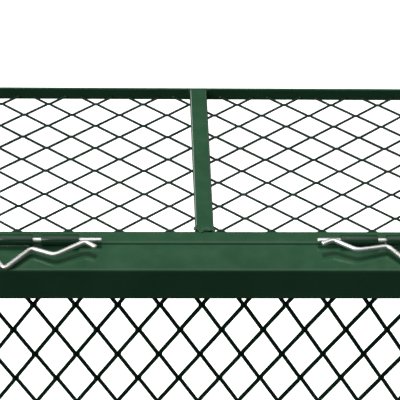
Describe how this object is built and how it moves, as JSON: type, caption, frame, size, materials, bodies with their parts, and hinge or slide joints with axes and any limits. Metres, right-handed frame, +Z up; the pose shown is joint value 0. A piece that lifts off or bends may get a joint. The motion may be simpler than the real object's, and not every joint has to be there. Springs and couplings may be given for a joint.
{
  "type": "round bale feeder",
  "caption": "Rectangular hay pen of welded square tube and expanded metal, with narrow mesh lids hinged on pull-out wire clips along both ends.",
  "frame": {"origin": "on the ground under the middle of the pen", "axes": "+X along the front rail, +Y from the front rail to the back, +Z up"},
  "size_m": [1.372, 2.037, 1.0299],
  "materials": {
    "green_paint": "semi-gloss dark green powder coat",
    "green_mesh": "semi-gloss dark green powder coat on expanded metal",
    "zinc_wire": "bright zinc-plated spring wire"
  },
  "bodies": {
    "root": {"back_bottom_rail": "green_paint", "back_left_lid_rest": "green_paint", "back_left_post": "green_paint", "back_mesh": "green_mesh", "back_rail_barrel_left": "green_paint", "back_rail_barrel_right": "green_paint", "back_right_lid_rest": "green_paint", "back_right_post": "green_paint", "back_top_rail": "green_paint", "back_upright_left": "green_paint", "back_upright_right": "green_paint", "front_bottom_rail": "green_paint", "front_left_lid_rest": "green_paint", "front_left_post": "green_paint", "front_mesh": "green_mesh", "front_rail_barrel_left": "green_paint", "front_rail_barrel_right": "green_paint", "front_right_lid_rest": "green_paint", "front_right_post": "green_paint", "front_top_rail": "green_paint", "front_upright_left": "green_paint", "front_upright_right": "green_paint", "left_bottom_rail": "green_paint", "left_mesh": "green_mesh", "left_top_rail": "green_paint", "left_upright_left": "green_paint", "left_upright_right": "green_paint", "right_bottom_rail": "green_paint", "right_mesh": "green_mesh", "right_top_rail": "green_paint", "right_upright_left": "green_paint", "right_upright_right": "green_paint"},
    "front_lid": {"front_lid_hinge_tube": "green_paint", "front_lid_arm_left": "green_paint", "front_lid_arm_right": "green_paint", "front_lid_nose_angle": "green_paint", "front_lid_centre_bar": "green_paint", "front_lid_mesh": "green_mesh", "front_lid_barrel_left": "green_paint", "front_lid_barrel_right": "green_paint"},
    "front_clip_left": {"front_clip_left": "zinc_wire"},
    "front_clip_right": {"front_clip_right": "zinc_wire"},
    "back_lid": {"back_lid_hinge_tube": "green_paint", "back_lid_arm_left": "green_paint", "back_lid_arm_right": "green_paint", "back_lid_nose_angle": "green_paint", "back_lid_centre_bar": "green_paint", "back_lid_mesh": "green_mesh", "back_lid_barrel_left": "green_paint", "back_lid_barrel_right": "green_paint"},
    "back_clip_left": {"back_clip_left": "zinc_wire"},
    "back_clip_right": {"back_clip_right": "zinc_wire"}
  },
  "joints": [
    {"name": "front_lid_hinge", "type": "hinge", "parent": "root", "child": "front_lid", "pos_m": [0, -0.9769, 1.0218], "axis": [1, 0, 0], "range_deg": [0, 145]},
    {"name": "front_clip_left_pull", "type": "slide", "parent": "root", "child": "front_clip_left", "axis": [-1, 0, 0], "range_m": [0, 0.115]},
    {"name": "front_clip_right_pull", "type": "slide", "parent": "root", "child": "front_clip_right", "axis": [1, 0, 0], "range_m": [0, 0.115]},
    {"name": "back_lid_hinge", "type": "hinge", "parent": "root", "child": "back_lid", "pos_m": [0, 0.9769, 1.0218], "axis": [-1, 0, 0], "range_deg": [0, 145]},
    {"name": "back_clip_left_pull", "type": "slide", "parent": "root", "child": "back_clip_left", "axis": [1, 0, 0], "range_m": [0, 0.115]},
    {"name": "back_clip_right_pull", "type": "slide", "parent": "root", "child": "back_clip_right", "axis": [-1, 0, 0], "range_m": [0, 0.115]}
  ]
}
